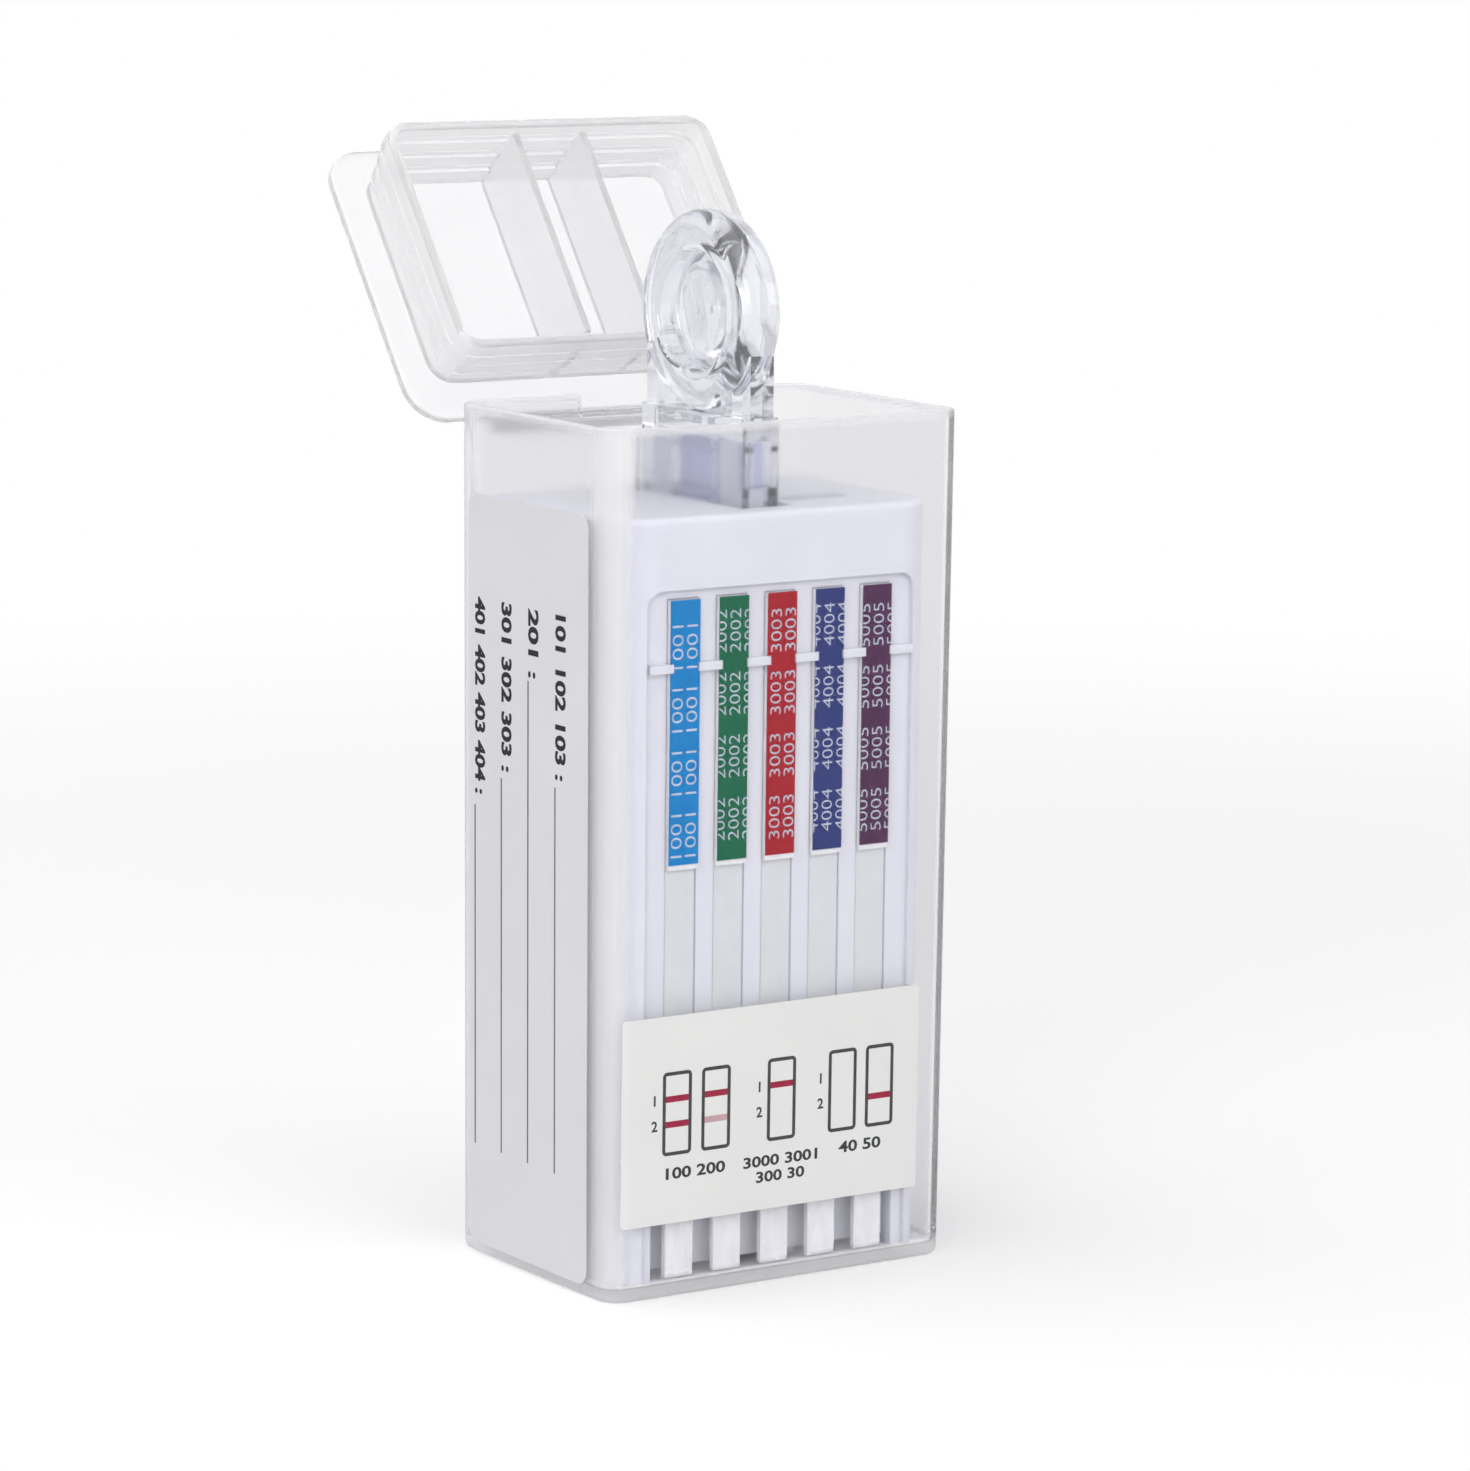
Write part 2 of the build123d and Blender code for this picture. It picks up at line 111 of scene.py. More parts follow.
def settle(piece):
    # the object ends at the origin, with its place in its mesh
    makeActive(piece)
    bpy.ops.object.transform_apply(location=True, rotation=True, scale=True)


def joinPieces(parts, name):
    makeActive(*parts)
    if len(parts) > 1:
        bpy.ops.object.join()
    joined = newPiece(name)
    settle(joined)
    return joined


def finishPiece(piece, body, material, slotName, *replaced):
    piece.data.materials.clear()
    piece.data.materials.append(material)
    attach(piece, body)
    if replaced:
        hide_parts(*replaced)


def newMaterial(name):
    material = bpy.data.materials.new(name)
    material.use_nodes = True
    tree = material.node_tree
    shader = tree.nodes["Principled BSDF"]
    return material, tree, shader


def addNode(tree, kind, **settings):
    node = tree.nodes.new(kind)
    for key, value in settings.items():
        if hasattr(node, key):
            setattr(node, key, value)
        else:
            node.inputs[key.replace("_", " ")].default_value = value
    return node


def addGrain(tree, scale, detail=3.0, stretch=(1.0, 1.0, 1.0)):
    # noise on object coordinates, scale in repeats a metre
    place = addNode(tree, "ShaderNodeTexCoord")
    mapping = addNode(tree, "ShaderNodeMapping")
    mapping.inputs["Scale"].default_value = stretch
    grain = addNode(tree, "ShaderNodeTexNoise", Scale=scale, Detail=detail)
    tree.links.new(place.outputs["Object"], mapping.inputs["Vector"])
    tree.links.new(mapping.outputs["Vector"], grain.inputs["Vector"])
    return grain


def addRange(tree, source, low, high, start=grainSpread[0], end=grainSpread[1]):
    # turns start..end into low..high
    spread = addNode(tree, "ShaderNodeMapRange")
    spread.inputs["From Min"].default_value = start
    spread.inputs["From Max"].default_value = end
    spread.inputs["To Min"].default_value = low
    spread.inputs["To Max"].default_value = high
    tree.links.new(source, spread.inputs["Value"])
    return spread


def addMath(tree, operation, first, second):
    # each value is a socket or a number
    node = addNode(tree, "ShaderNodeMath", operation=operation)
    for socket, value in zip(node.inputs, (first, second)):
        if isinstance(value, (int, float)):
            socket.default_value = value
        else:
            tree.links.new(value, socket)
    return node.outputs["Value"]


def addAxes(tree):
    # the point's own X, Y and Z in metres
    place = addNode(tree, "ShaderNodeTexCoord")
    axes = addNode(tree, "ShaderNodeSeparateXYZ")
    tree.links.new(place.outputs["Object"], axes.inputs["Vector"])
    return axes.outputs["X"], axes.outputs["Y"], axes.outputs["Z"]


def addBump(tree, shader, source, strength, distance):
    bump = addNode(tree, "ShaderNodeBump", Strength=strength, Distance=distance)
    tree.links.new(source, bump.inputs["Height"])
    tree.links.new(bump.outputs["Normal"], shader.inputs["Normal"])


def blendColour(tree, shader, share, first, second):
    # the base colour goes from the first shade to the second as the share goes from 0 to 1
    shades = addNode(tree, "ShaderNodeMix", data_type="RGBA")
    factor, start, end = shades.inputs["Factor"], shades.inputs[6], shades.inputs[7]
    start.default_value = (*first, 1.0)
    end.default_value = (*second, 1.0)
    tree.links.new(share, factor)
    tree.links.new(shades.outputs[2], shader.inputs["Base Color"])


def letLampsThrough(tree, shader, tint):
    # lamps reach what is inside, dimmed by the tint
    path = addNode(tree, "ShaderNodeLightPath")
    passing = addNode(tree, "ShaderNodeBsdfTransparent")
    passing.inputs["Color"].default_value = (*tint, 1.0)
    mix = addNode(tree, "ShaderNodeMixShader")
    tree.links.new(path.outputs["Is Shadow Ray"], mix.inputs["Fac"])
    tree.links.new(shader.outputs["BSDF"], mix.inputs[1])
    tree.links.new(passing.outputs["BSDF"], mix.inputs[2])
    tree.links.new(mix.outputs["Shader"], tree.nodes["Material Output"].inputs["Surface"])


def clearPlastic(name, finish):
    # clear or frosted moulded plastic with faint moulding waves
    material, tree, shader = newMaterial(name)
    shader.inputs["Base Color"].default_value = (*finish["tint"], 1.0)
    shader.inputs["IOR"].default_value = finish["ior"]
    haze = addGrain(tree, finish["hazeScale"])
    spread = addRange(tree, haze.outputs["Fac"], *finish["rough"])
    tree.links.new(spread.outputs["Result"], shader.inputs["Roughness"])
    waves = addGrain(tree, finish["waveScale"], detail=1.5)
    addBump(tree, shader, waves.outputs["Fac"], finish["wave"], bumpDepth["wave"])
    letLampsThrough(tree, shader, finish["shadow"])
    return material, tree, shader


def milkyPlastic(name, finish):
    # clear plastic with the same milk all over
    material, tree, shader = clearPlastic(name, finish)
    shader.inputs["Transmission Weight"].default_value = 1.0 - finish["milk"]
    return material


def wallPlastic(name, finish):
    # clear walls, milky at the rim, in the floor and in the two thick corners on the left
    material, tree, shader = clearPlastic(name, finish)
    x, y, z = addAxes(tree)
    left, front = -container["width"] * mm / 2, container["depth"] * mm / 2
    milkyX, clearX = (left + inset * mm for inset in finish["cornerX"])
    clearY, milkyY = (front - inset * mm for inset in finish["cornerY"])
    nearX = addRange(tree, x, 1.0, 0.0, milkyX, clearX)
    outY = addMath(tree, "ABSOLUTE", y, 0.0)
    nearY = addRange(tree, outY, 0.0, 1.0, clearY, milkyY)
    corner = addMath(tree, "MULTIPLY", nearX.outputs["Result"], nearY.outputs["Result"])
    rim = addRange(tree, z, 0.0, 1.0, *(level * mm for level in finish["rim"]))
    foot = addRange(tree, z, 1.0, 0.0, *(level * mm for level in finish["foot"]))
    ends = addMath(tree, "MAXIMUM", rim.outputs["Result"], foot.outputs["Result"])
    sides = addMath(tree, "MULTIPLY", corner, finish["cornerShare"])
    thick = addMath(tree, "MAXIMUM", sides, ends)
    clear = addRange(tree, thick, 1.0 - finish["milk"], 1.0 - finish["thickMilk"], 0.0, 1.0)
    tree.links.new(clear.outputs["Result"], shader.inputs["Transmission Weight"])
    return material


def mottledColour(tree, shader, grain, dark, light):
    # colour that drifts between two close shades
    spread = addRange(tree, grain.outputs["Fac"], 0.0, 1.0)
    blendColour(tree, shader, spread.outputs["Result"], dark, light)


def solidPlastic(name, finish):
    # opaque moulding, card or film with a fine grain
    material, tree, shader = newMaterial(name)
    grain = addGrain(tree, finish["grain"])
    mottledColour(tree, shader, grain, finish["dark"], finish["light"])
    spread = addRange(tree, grain.outputs["Fac"], *finish["rough"])
    tree.links.new(spread.outputs["Result"], shader.inputs["Roughness"])
    fine = addGrain(tree, finish["grain"] * 8)
    addBump(tree, shader, fine.outputs["Fac"], finish["bump"], bumpDepth["grain"])
    shader.inputs["Specular IOR Level"].default_value = finish["shine"]
    return material


def glowingPlastic(name, finish):
    # white plastic that carries light on inside
    material = solidPlastic(name, finish)
    shader = material.node_tree.nodes["Principled BSDF"]
    shader.inputs["Subsurface Weight"].default_value = finish["glow"]
    shader.inputs["Subsurface Radius"].default_value = (1.0, 1.0, 1.0)
    shader.inputs["Subsurface Scale"].default_value = finish["glowReach"] * mm
    return material


def thinPaper(name, finish):
    # label film that lets a part of the light through
    material = solidPlastic(name, finish)
    tree = material.node_tree
    letLampsThrough(tree, tree.nodes["Principled BSDF"], (finish["passing"],) * 3)
    return material


def windowCard(name, finish):
    # white card, printed blue where the blade's windows and edge slots show it
    material, tree, shader = newMaterial(name)
    y, z = addAxes(tree)[1:]
    side = addMath(tree, "ABSOLUTE", y, 0.0)
    middle = addMath(tree, "LESS_THAN", side, finish["halfWidth"] * mm)
    edge = addMath(tree, "GREATER_THAN", side, finish["edge"] * mm)
    level = addMath(tree, "GREATER_THAN", z, finish["bottom"] * mm)
    edgeLevel = addMath(tree, "GREATER_THAN", z, finish["edgeBottom"] * mm)
    window = addMath(tree, "MULTIPLY", middle, level)
    slot = addMath(tree, "MULTIPLY", edge, edgeLevel)
    printed = addMath(tree, "MAXIMUM", window, slot)
    blendColour(tree, shader, printed, finish["white"], finish["blue"])
    shader.inputs["Roughness"].default_value = finish["rough"]
    shader.inputs["Specular IOR Level"].default_value = finish["shine"]
    fine = addGrain(tree, finish["grain"])
    addBump(tree, shader, fine.outputs["Fac"], finish["bump"], bumpDepth["grain"])
    return material


def fibrePad(name, finish):
    # short pressed fibres, drawn out along the strip
    material, tree, shader = newMaterial(name)
    grain = addGrain(tree, finish["grain"], detail=4.0, stretch=(1.0, 1.0, 0.35))
    mottledColour(tree, shader, grain, finish["dark"], finish["light"])
    shader.inputs["Roughness"].default_value = 0.9
    shader.inputs["Sheen Weight"].default_value = 0.2
    fibres = addGrain(tree, finish["grain"] * 3, detail=6.0, stretch=(1.0, 1.0, 0.5))
    addBump(tree, shader, fibres.outputs["Fac"], finish["bump"], bumpDepth["fibre"])
    return material


def printInk(name, colour, worn):
    # ink in a fresh and a slightly worn shade
    material, tree, shader = newMaterial(name)
    grain = addGrain(tree, ink["grain"], detail=4.0)
    mottledColour(tree, shader, grain, colour, worn)
    shader.inputs["Roughness"].default_value = ink["rough"]
    shader.inputs["Specular IOR Level"].default_value = ink["shine"]
    return material


# grain and wave scales are repeats a metre, and rough gives a range
containerPlastic = wallPlastic("clearContainer", {
    "tint": (0.882, 0.88, 0.894), "ior": 1.16, "rough": (0.20, 0.245), "hazeScale": 150.0,
    "wave": 0.1, "waveScale": 60.0, "shadow": (0.95, 0.95, 0.96),
    "milk": 0.006, "thickMilk": 0.6, "cornerShare": 0.9,
    "cornerX": (1.4, 3.6), "cornerY": (6.0, 3.0),  # millimetres in from the outside
    "rim": (100.2, 101.4), "foot": (1.6, 2.2),  # millimetres up
})
lidPlastic = milkyPlastic("frostedLid", {
    "tint": (0.925, 0.925, 0.932), "ior": 1.4, "rough": (0.19, 0.245), "hazeScale": 225.0,
    "wave": 0.12, "waveScale": 90.0, "shadow": (0.88, 0.88, 0.89), "milk": 0.27,
})
collectorPlastic = milkyPlastic("clearCollector", {
    "tint": (0.85, 0.86, 0.90), "ior": 1.45, "rough": (0.04, 0.07), "hazeScale": 125.0,
    "wave": 0.015, "waveScale": 50.0, "shadow": (0.93, 0.93, 0.95), "milk": 0.05,
})
carrierPlastic = glowingPlastic("whiteCarrier", {
    "dark": (0.68, 0.685, 0.74), "light": (0.71, 0.715, 0.77), "rough": (0.42, 0.52),
    "bump": 0.12, "grain": 120.0, "shine": 0.3, "glow": 0.3, "glowReach": 1.5,  # millimetres
})
cardFinish = solidPlastic("backingCard", {
    "dark": (0.86, 0.86, 0.87), "light": (0.9, 0.9, 0.91), "rough": (0.5, 0.62),
    "bump": 0.1, "grain": 300.0, "shine": 0.2,
})
membraneFinish = solidPlastic("membrane", {
    "dark": (0.64, 0.655, 0.675), "light": (0.68, 0.69, 0.71), "rough": (0.6, 0.75),
    "bump": 0.2, "grain": 700.0, "shine": 0.2,
})
indicatorFinish = windowCard("indicatorCard", {
    "white": (0.80, 0.80, 0.83), "blue": (0.54, 0.56, 0.72),
    "halfWidth": 4.8, "bottom": 86.3, "edge": 8.6, "edgeBottom": 92.6,  # millimetres
    "rough": 0.65, "shine": 0.2, "grain": 1500.0, "bump": 0.1,
})
padFinish = fibrePad("padFibre", {
    "dark": (0.76, 0.75, 0.77), "light": (0.86, 0.85, 0.87), "bump": 0.8, "grain": 700.0,
})
conjugateFinish = fibrePad("conjugateFibre", {
    "dark": (0.80, 0.75, 0.76), "light": (0.87, 0.83, 0.84), "bump": 0.5, "grain": 900.0,
})
spongeFinish = fibrePad("spongeFoam", {
    "dark": (0.84, 0.83, 0.80), "light": (0.93, 0.92, 0.90), "bump": 1.0, "grain": 500.0,
})
keyPaper = thinPaper("keyLabelFilm", {
    "dark": (0.84, 0.84, 0.83), "light": (0.87, 0.87, 0.86), "rough": (0.4, 0.55),
    "bump": 0.05, "grain": 60.0, "shine": 0.3, "passing": 0.7,
})
# painted shade: the side label's paper is set darker than the key label's paper, standing for the shade
# on the left wall
sidePaperPaintedShade = thinPaper("sideLabelPaperPaintedShade", {
    "dark": (0.765, 0.76, 0.79), "light": (0.795, 0.79, 0.82), "rough": (0.55, 0.7),
    "bump": 0.08, "grain": 80.0, "shine": 0.3, "passing": 0.75,
})
tapeColours = {  # from the first strip on the left to the fifth
    "blue": ((0.002, 0.18, 0.48), (0.005, 0.23, 0.56)),
    "green": ((0.003, 0.11, 0.05), (0.006, 0.135, 0.065)),
    "red": ((0.32, 0.008, 0.016), (0.39, 0.012, 0.022)),
    "indigo": ((0.022, 0.033, 0.15), (0.03, 0.045, 0.185)),
    "purple": ((0.066, 0.018, 0.062), (0.085, 0.026, 0.08)),
}
tapeFinish = {
    name: solidPlastic(f"tape{name.capitalize()}", {
        "dark": dark, "light": light, "rough": (0.4, 0.55), "bump": 0.3, "grain": 900.0, "shine": 0.05,
    })
    for name, (dark, light) in tapeColours.items()
}
whiteInk = printInk("whiteInk", (0.42, 0.48, 0.56), (0.58, 0.62, 0.7))
darkInk = printInk("darkInk", (0.04, 0.045, 0.045), (0.055, 0.06, 0.06))
textInk = printInk("textInk", (0.008, 0.01, 0.012), (0.015, 0.018, 0.02))
ruleInk = printInk("ruleInk", (0.1, 0.1, 0.11), (0.14, 0.14, 0.15))
frameInk = printInk("frameInk", (0.055, 0.055, 0.055), (0.08, 0.08, 0.08))
crimsonInk = printInk("crimsonInk", (0.33, 0.02, 0.055), (0.4, 0.035, 0.08))
pinkInk = printInk("pinkInk", (0.6, 0.36, 0.42), (0.66, 0.44, 0.49))
print("materials made")


def refinish(node, material):
    cadNodes[node].data.materials.clear()
    cadNodes[node].data.materials.append(material)


refinish("container", containerPlastic)
refinish("lid", lidPlastic)
refinish("collector_handle", collectorPlastic)
refinish("saturation_indicator", indicatorFinish)
refinish("strip_carrier", carrierPlastic)
refinish("key_label", keyPaper)
refinish("side_label", sidePaperPaintedShade)
for number, colour in enumerate(tapeColours, start=1):
    refinish(f"strip_{number}_backing_card", cardFinish)
    refinish(f"strip_{number}_conjugate_pad", conjugateFinish)
    refinish(f"strip_{number}_membrane", membraneFinish)
    refinish(f"strip_{number}_absorbent_pad", padFinish)
    refinish(f"strip_{number}_color_tape", tapeFinish[colour])
print("node finishes set")


def meshBox(piece):
    # lowest and highest corner of the mesh
    points = [vertex.co for vertex in piece.data.vertices]
    low = Vector(min(point[axis] for point in points) for axis in range(3))
    high = Vector(max(point[axis] for point in points) for axis in range(3))
    return low, high


def closeSeams(piece):
    # joins the faces of converted text, which come apart at their edges
    bpy.ops.object.mode_set(mode="EDIT")
    bpy.ops.mesh.select_all(action="SELECT")
    bpy.ops.mesh.remove_doubles(threshold=ink["seam"])
    bpy.ops.object.mode_set(mode="OBJECT")
    return meshBox(piece)


def addText(words, height, length=None, bold=0.0):
    # a flat line of numerals in the XY plane, centred, with its own mesh
    deselectAll()
    bpy.ops.object.text_add()
    line = bpy.context.active_object
    line.data.body = words
    line.data.align_x = "CENTER"
    line.data.align_y = "CENTER"
    line.data.size = 1.0
    line.data.offset = bold
    line.data.extrude = 0.5  # one unit deep, scaled to the ink's depth below
    line.data.resolution_u = ink["curveSteps"]
    bpy.ops.object.convert(target="MESH")
    line = bpy.context.active_object
    low, high = closeSeams(line)
    middle = (low + high) / 2
    tall = height / (high.y - low.y)
    wide = length / (high.x - low.x) if length else tall
    line.data.transform(Matrix.Translation(-middle))
    line.data.transform(Matrix.Diagonal((wide, tall, ink["depth"], 1.0)))
    return line


def thickenPrint(outline):
    # gives a flat printed shape its ink's depth
    bpy.ops.mesh.select_all(action="SELECT")
    bpy.ops.mesh.extrude_region_move(TRANSFORM_OT_translate={"value": (0, 0, ink["depth"])})
    bpy.ops.mesh.select_all(action="SELECT")
    bpy.ops.mesh.normals_make_consistent(inside=False)
    bpy.ops.object.mode_set(mode="OBJECT")
    outline.data.transform(Matrix.Translation((0, 0, -ink["depth"] / 2)))


def addPlate(width, height):
    # a flat plate in the XY plane, left in edit mode with all of it selected
    deselectAll()
    bpy.ops.mesh.primitive_plane_add(size=1.0)
    plate = bpy.context.active_object
    plate.data.transform(Matrix.Diagonal((width, height, 1.0, 1.0)))
    bpy.ops.object.mode_set(mode="EDIT")
    bpy.ops.mesh.select_all(action="SELECT")
    return plate


def addBar(width, height):
    # a flat printed bar in the XY plane, centred
    bar = addPlate(width, height)
    thickenPrint(bar)
    return bar


def addWindowFrame(width, height, corner, line):
    # a rounded outline, from a plate with rounded corners, inset and emptied
    outline = addPlate(width, height)
    bpy.ops.mesh.bevel(offset=corner, segments=ink["cornerSteps"], affect="VERTICES")
    bpy.ops.mesh.select_all(action="SELECT")
    bpy.ops.mesh.inset(thickness=line, depth=0)
    bpy.ops.mesh.delete(type="FACE")
    thickenPrint(outline)
    return outline


def printedFace(across, z):
    # how far out the print on a label lies, at a height on the drafted wall
    lean = tan(radians(container["draft"]))
    return across / 2 - (container["height"] - z) * lean + container["label"] + ink["lift"]


def placeOnFront(piece, x, z):
    # stands the print up on the drafted front wall's label
    y = printedFace(container["depth"], z)
    stand = Matrix.Rotation(radians(90 + container["draft"]), 4, "X")
    piece.data.transform(Matrix.Scale(mm, 4) @ Matrix.Translation((x, -y, z)) @ stand)


def placeOnLeft(piece, y, z):
    # stands the print up on the left wall's label, reading downwards
    x = printedFace(container["width"], z)
    stand = Matrix(((0, 0, -1, 0), (0, -1, 0, 0), (-1, 0, 0, 0), (0, 0, 0, 1)))
    tilt = Matrix.Rotation(-radians(container["draft"]), 4, "Y")
    piece.data.transform(Matrix.Scale(mm, 4) @ Matrix.Translation((-x, y, z)) @ tilt @ stand)


tapePrint = {  # millimetres
    "pitch": 6.66, "middleStrip": 3, "width": 4.0, "face": -15.65, "top": 81.3,
    "rows": 4, "rowPitch": 7.3, "columns": 3, "columnPitch": 1.95,
    "height": 1.45, "length": 5.0, "bold": -0.012,
    # numerals, first row's middle below the tape's top, first column's middle from the tape's left
    "tapes": (
        ("1001", 5.4, 0.95), ("2002", 4.0, 0.2), ("3003", 4.4, 1.15),
        ("4004", 4.2, -0.1), ("5005", 4.7, 0.25),
    ),
}


def cutPrint(piece, limit, keepBelow):
    # trims what runs over the tape's edge, along x
    makeActive(piece)
    bpy.ops.object.mode_set(mode="EDIT")
    bpy.ops.mesh.select_all(action="SELECT")
    bpy.ops.mesh.bisect(
        plane_co=(limit, 0, 0), plane_no=(1, 0, 0), use_fill=True,
        clear_outer=keepBelow, clear_inner=not keepBelow, threshold=ink["seam"] * mm)
    bpy.ops.object.mode_set(mode="OBJECT")


def makeTapePrint(number, words, firstRow, firstColumn):
    middle = (number - tapePrint["middleStrip"]) * tapePrint["pitch"]
    left = middle - tapePrint["width"] / 2
    right = left + tapePrint["width"]
    face = tapePrint["face"] - ink["lift"]
    # turned to read upwards, on the tape's face
    stand = Matrix(((0, -1, 0, 0), (0, 0, -1, 0), (1, 0, 0, 0), (0, 0, 0, 1)))
    lines = []
    for row in range(tapePrint["rows"]):
        for column in range(tapePrint["columns"]):
            x = left + firstColumn + column * tapePrint["columnPitch"]
            if x - tapePrint["height"] / 2 > right:
                continue
            z = tapePrint["top"] - firstRow - row * tapePrint["rowPitch"]
            line = addText(words, tapePrint["height"], tapePrint["length"], tapePrint["bold"])
            line.data.transform(Matrix.Scale(mm, 4) @ Matrix.Translation((x, face, z)) @ stand)
            lines.append(line)
    printed = joinPieces(lines, f"strip_{number}_numerals")
    cutPrint(printed, right * mm, True)
    cutPrint(printed, left * mm, False)
    finishPiece(printed, "body", whiteInk, "pad_fibre")


for number, (words, firstRow, firstColumn) in enumerate(tapePrint["tapes"], start=1):
    makeTapePrint(number, words, firstRow, firstColumn)
print("tape numerals made")

keyPrint = {  # millimetres
    "width": 3.979, "top": 26.82, "height": 9.87, "corner": 0.55, "line": 0.42,
    "bandHeight": 0.74, "controlDrop": 3.2, "testDrop": 6.2,
    "mark": 1.25, "markGap": 1.1, "markBold": 0.02, "captionBold": 0.025,
    # window's left edge, its control and test band, whether marks stand beside it
    "windows": (
        (-16.837, "strong", "strong", True), (-11.469, "strong", "faint", False),
        (-2.326, "strong", None, True), (6.288, None, None, True), (11.577, None, "strong", False),
    ),
    # words, length, height, middle x, middle z
    "captions": (
        ("100 200", 8.2, 1.4, -12.2, 14.8), ("3000 3001", 10.4, 1.35, -0.35, 14.7),
        ("300 30", 6.8, 1.35, -0.35, 12.8), ("40 50", 6.0, 1.4, 10.9, 15.0),
    ),
}


def makeKeyPrint():
    width, height = keyPrint["width"], keyPrint["height"]
    middleZ = keyPrint["top"] - height / 2
    control = keyPrint["top"] - keyPrint["controlDrop"]
    test = keyPrint["top"] - keyPrint["testDrop"]
    frames, marks, bands = [], [], {"strong": [], "faint": []}
    bandWidth = width - 2 * keyPrint["line"]
    for left, controlBand, testBand, marked in keyPrint["windows"]:
        x = left + width / 2
        outline = addWindowFrame(width, height, keyPrint["corner"], keyPrint["line"])
        placeOnFront(outline, x, middleZ)
        frames.append(outline)
        for strength, z in ((controlBand, control), (testBand, test)):
            if strength:
                band = addBar(bandWidth, keyPrint["bandHeight"])
                placeOnFront(band, x, z)
                bands[strength].append(band)
        if marked:
            for words, z in (("1", control), ("2", test)):
                mark = addText(words, keyPrint["mark"], bold=keyPrint["markBold"])
                placeOnFront(mark, left - keyPrint["markGap"], z)
                marks.append(mark)
    for words, length, height, x, z in keyPrint["captions"]:
        caption = addText(words, height, length, keyPrint["captionBold"])
        placeOnFront(caption, x, z)
        marks.append(caption)
    finishPiece(joinPieces(frames, "key_window_frames"), "body", frameInk, "key_label_paper")
    finishPiece(joinPieces(marks, "key_numerals"), "body", darkInk, "key_label_paper")
    finishPiece(joinPieces(bands["strong"], "key_bands"), "body", crimsonInk, "key_label_paper")
    finishPiece(joinPieces(bands["faint"], "key_faint_band"), "body", pinkInk, "key_label_paper")


makeKeyPrint()
print("key label printed")

sidePrint = {  # millimetres
    "firstRule": 12.338, "rulePitch": 5.942, "ruleBottom": 13.4, "ruleWidth": 0.24,
    "textTop": 79.1, "height": 2.3, "bold": 0.035,
    # numerals, their length, the rule's top
    "lines": (
        ("401 402 403 404 :", 23.4, 54.3), ("301 302 303 :", 19.9, 58.3),
        ("201 :", 8.1, 70.6), ("101 102 103 :", 19.2, 59.0),
    ),
}


def makeSidePrint():
    rules, texts = [], []
    for place, (words, length, ruleTop) in enumerate(sidePrint["lines"]):
        y = sidePrint["firstRule"] - place * sidePrint["rulePitch"]
        rule = addBar(ruleTop - sidePrint["ruleBottom"], sidePrint["ruleWidth"])
        placeOnLeft(rule, y, (ruleTop + sidePrint["ruleBottom"]) / 2)
        rules.append(rule)
        text = addText(words, sidePrint["height"], length, sidePrint["bold"])
        placeOnLeft(text, y - sidePrint["height"] / 2, sidePrint["textTop"] - length / 2)
        texts.append(text)
    finishPiece(joinPieces(rules, "side_rules"), "body", ruleInk, "side_label_paper")
    finishPiece(joinPieces(texts, "side_numerals"), "body", textInk, "side_label_paper")


makeSidePrint()
print("side label printed")

padShape = {
    "rounding": 0.18, "cloud": 1.1, "uneven": 0.12,  # millimetres
    "inset": 0.985, "cuts": 24, "roundingSteps": 2, "spongeFill": 0.9,
}


def makeSoftPad(name, node, body, material, slotName):
    # a pad in its node's space, with rounded edges and an uneven fibre surface
    low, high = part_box(node)
    size, middle = high - low, (low + high) / 2
    deselectAll()
    bpy.ops.mesh.primitive_cube_add(size=1.0, location=middle)
    pad = newPiece(name)
    pad.dimensions = size * padShape["inset"]
    settle(pad)
    bpy.ops.object.mode_set(mode="EDIT")
    bpy.ops.mesh.select_all(action="SELECT")
    bpy.ops.mesh.subdivide(number_cuts=padShape["cuts"])
    bpy.ops.object.mode_set(mode="OBJECT")
    rounding = pad.modifiers.new("rounding", "BEVEL")
    rounding.width = padShape["rounding"] * mm
    rounding.segments = padShape["roundingSteps"]
    rounding.limit_method = "ANGLE"
    bpy.ops.object.modifier_apply(modifier="rounding")
    clouds = bpy.data.textures.new(f"{name}Clouds", "CLOUDS")
    clouds.noise_scale = padShape["cloud"] * mm
    uneven = pad.modifiers.new("uneven", "DISPLACE")
    uneven.texture = clouds
    uneven.strength = padShape["uneven"] * mm
    uneven.mid_level = 1.0  # the surface only moves inwards
    bpy.ops.object.modifier_apply(modifier="uneven")
    bpy.ops.object.shade_smooth()
    finishPiece(pad, body, material, slotName, node)
    return pad


for number in range(1, len(tapeColours) + 1):
    makeSoftPad(
        f"strip_{number}_soft_pad", f"strip_{number}_sample_pad",
        "body", padFinish, "pad_fibre")
sponge = makeSoftPad(
    "collector_soft_sponge", "collector_sponge", "collector", spongeFinish, "sponge")
print("pads made")


def raySwitch(tree):
    # 1 for rays from the camera, mirrored or passing through, 0 for light on the object
    path = addNode(tree, "ShaderNodeLightPath")
    mirrored = addMath(tree, "MAXIMUM", path.outputs["Is Camera Ray"], path.outputs["Is Glossy Ray"])
    return addMath(tree, "MAXIMUM", mirrored, path.outputs["Is Transmission Ray"])


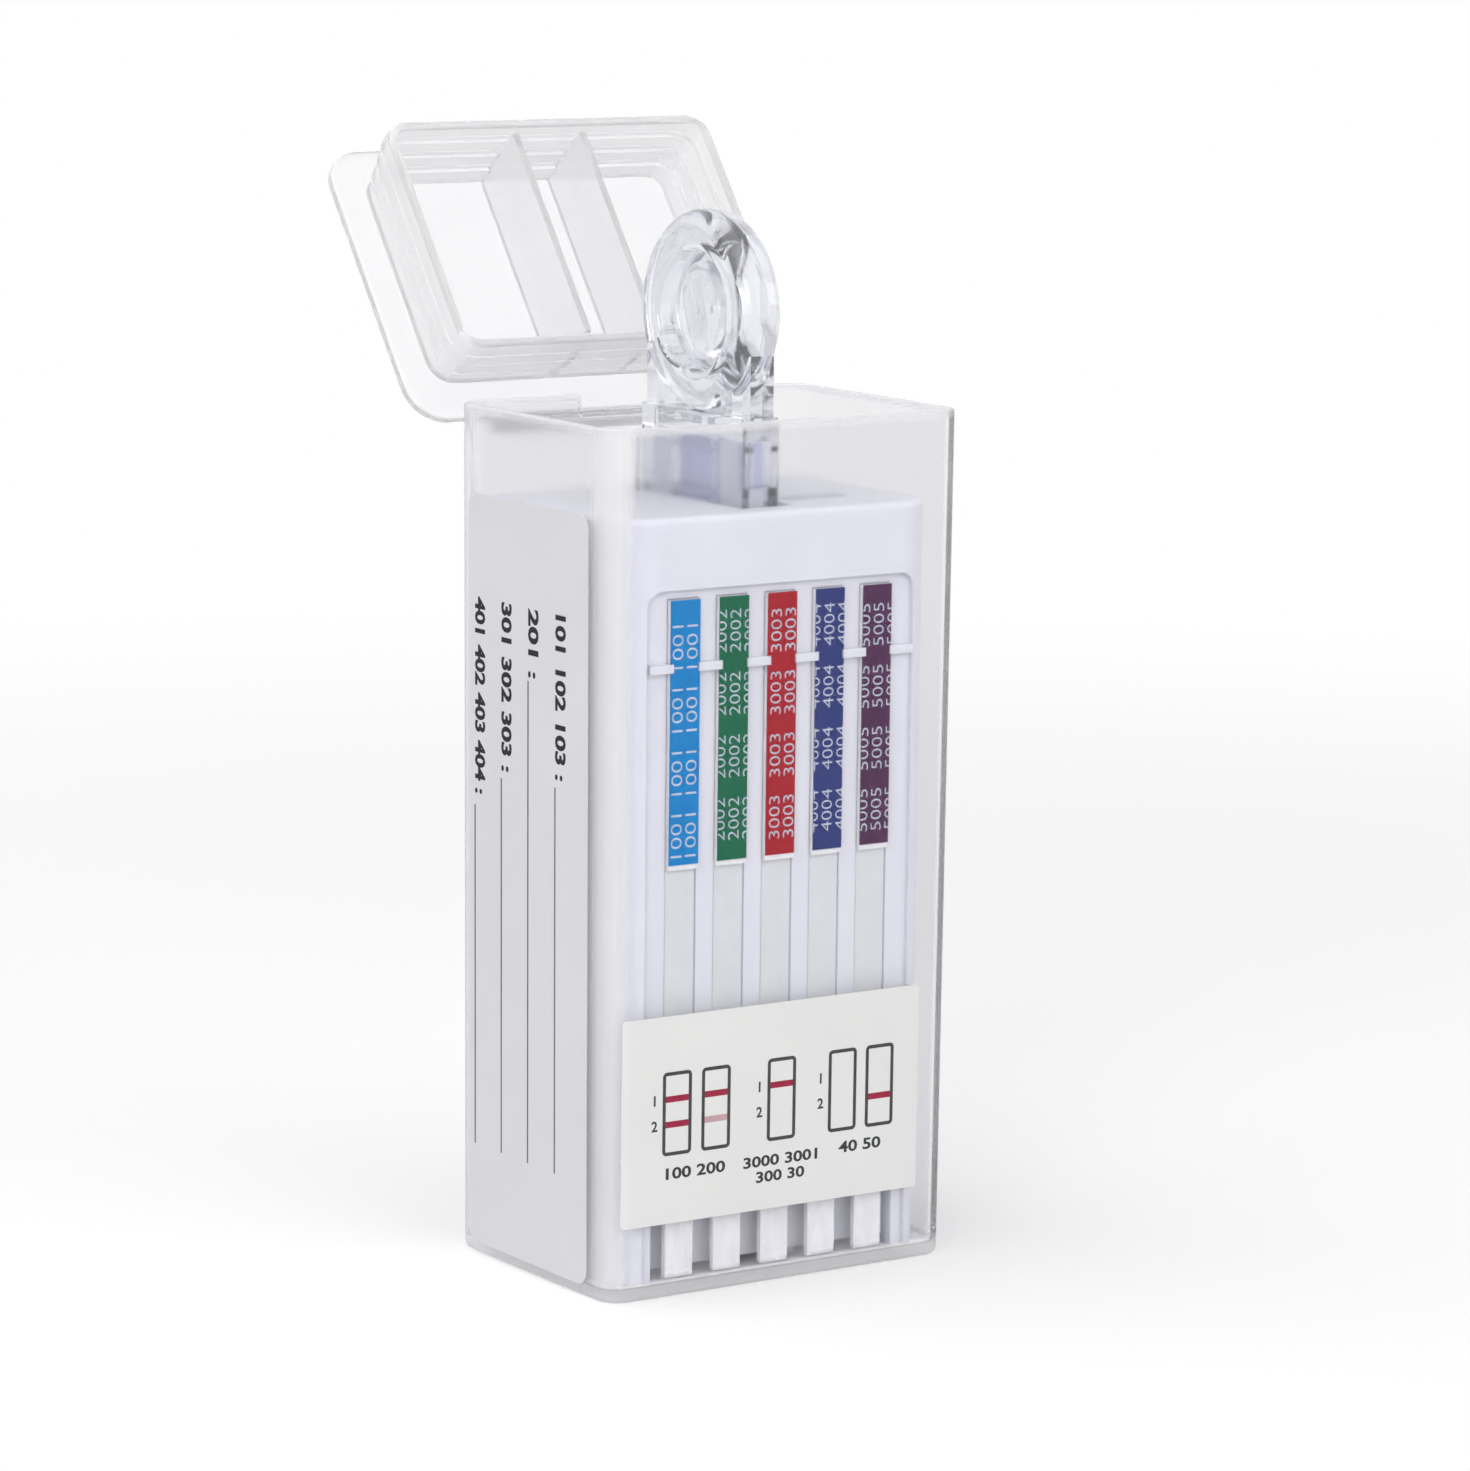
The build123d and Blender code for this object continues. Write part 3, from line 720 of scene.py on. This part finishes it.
def makeSky():
    # plain soft light, white behind the object, with the dark gap in reflections
    world = bpy.data.worlds.new("studioSky")
    bpy.context.scene.world = world
    world.use_nodes = True
    tree = world.node_tree
    background = tree.nodes["Background"]
    background.inputs["Color"].default_value = (*studio["skyColour"], 1.0)
    level = addRange(tree, raySwitch(tree), studio["skyLevel"], studio["whiteLevel"], 0.0, 1.0)
    place = addNode(tree, "ShaderNodeTexCoord")
    toGap = addNode(tree, "ShaderNodeVectorMath", operation="DOT_PRODUCT")
    toGap.inputs[1].default_value = Vector(studio["gapSide"]).normalized()
    tree.links.new(place.outputs["Generated"], toGap.inputs[0])
    dark = addRange(tree, toGap.outputs["Value"], 1.0, studio["gapLevel"], *studio["gapEdge"])
    path = addNode(tree, "ShaderNodeLightPath")
    shiny = addMath(tree, "MAXIMUM", path.outputs["Is Glossy Ray"], path.outputs["Is Transmission Ray"])
    plain = addMath(tree, "SUBTRACT", 1.0, shiny)
    gap = addMath(tree, "MAXIMUM", plain, dark.outputs["Result"])
    strength = addMath(tree, "MULTIPLY", level.outputs["Result"], gap)
    tree.links.new(strength, background.inputs["Strength"])


def makeFloor():
    # pale floor that keeps the object's shadow and fades to plain white around it
    deselectAll()
    bpy.ops.mesh.primitive_plane_add(
        size=studio["floorSize"], location=(0, 0, cadLow.z - studio["floorDrop"]))
    floor = newPiece("studio_floor")
    settle(floor)
    material, tree, shader = newMaterial("studioFloor")
    shader.inputs["Base Color"].default_value = (*studio["floorColour"], 1.0)
    shader.inputs["Roughness"].default_value = 1.0
    shader.inputs["Specular IOR Level"].default_value = 0.0
    seen = raySwitch(tree)
    glow = addNode(tree, "ShaderNodeEmission")
    tree.links.new(addMath(tree, "MULTIPLY", seen, studio["floorGlow"]), glow.inputs["Strength"])
    near = addNode(tree, "ShaderNodeAddShader")
    tree.links.new(shader.outputs["BSDF"], near.inputs[0])
    tree.links.new(glow.outputs["Emission"], near.inputs[1])
    place = addNode(tree, "ShaderNodeTexCoord")
    reach = addNode(tree, "ShaderNodeVectorMath", operation="LENGTH")
    tree.links.new(place.outputs["Object"], reach.inputs[0])
    fade = addRange(tree, reach.outputs["Value"], 0.0, 1.0, studio["fadeStart"], studio["fadeEnd"])
    fade.interpolation_type = "SMOOTHSTEP"
    plain = addNode(tree, "ShaderNodeEmission")
    mix = addNode(tree, "ShaderNodeMixShader")
    tree.links.new(addMath(tree, "MULTIPLY", seen, fade.outputs["Result"]), mix.inputs["Fac"])
    tree.links.new(near.outputs["Shader"], mix.inputs[1])
    tree.links.new(plain.outputs["Emission"], mix.inputs[2])
    tree.links.new(mix.outputs["Shader"], tree.nodes["Material Output"].inputs["Surface"])
    floor.data.materials.append(material)


def makeLamps():
    # square softboxes that all face the object's middle
    aim = Vector(studio["aim"])
    for name, place, size, power in studio["lamps"]:
        data = bpy.data.lights.new(name, "AREA")
        data.shape = "SQUARE"
        data.size = size
        data.energy = power
        lamp = bpy.data.objects.new(name, data)
        bpy.context.scene.collection.objects.link(lamp)
        lamp.location = place
        lamp.rotation_mode = "QUATERNION"
        lamp.rotation_quaternion = (aim - Vector(place)).to_track_quat("-Z", "Y")


def makeCamera():
    # the photograph's viewpoint; azimuth 0 looks along +Y
    azimuth, elevation, roll = (radians(camera[key]) for key in ("azimuth", "elevation", "roll"))
    back = Vector((sin(azimuth) * cos(elevation), -cos(azimuth) * cos(elevation), sin(elevation)))
    right = Vector((cos(azimuth), sin(azimuth), 0))
    up = back.cross(right)
    turned = right * cos(roll) + up * sin(roll)
    upright = up * cos(roll) - right * sin(roll)
    data = bpy.data.cameras.new("photoCamera")
    data.lens = camera["lens"]
    data.sensor_width = camera["sensor"]
    data.clip_start, data.clip_end = camera["clip"]
    lens = bpy.data.objects.new("photoCamera", data)
    bpy.context.scene.collection.objects.link(lens)
    place = (Vector(camera["target"]) + back * camera["distance"]) * mm
    turn = Matrix((turned, upright, back)).transposed().to_4x4()
    lens.matrix_world = Matrix.Translation(place) @ turn
    bpy.context.scene.camera = lens


makeSky()
makeFloor()
makeLamps()
makeCamera()
bpy.context.scene.view_settings.view_transform = "Standard"
print("studio made")
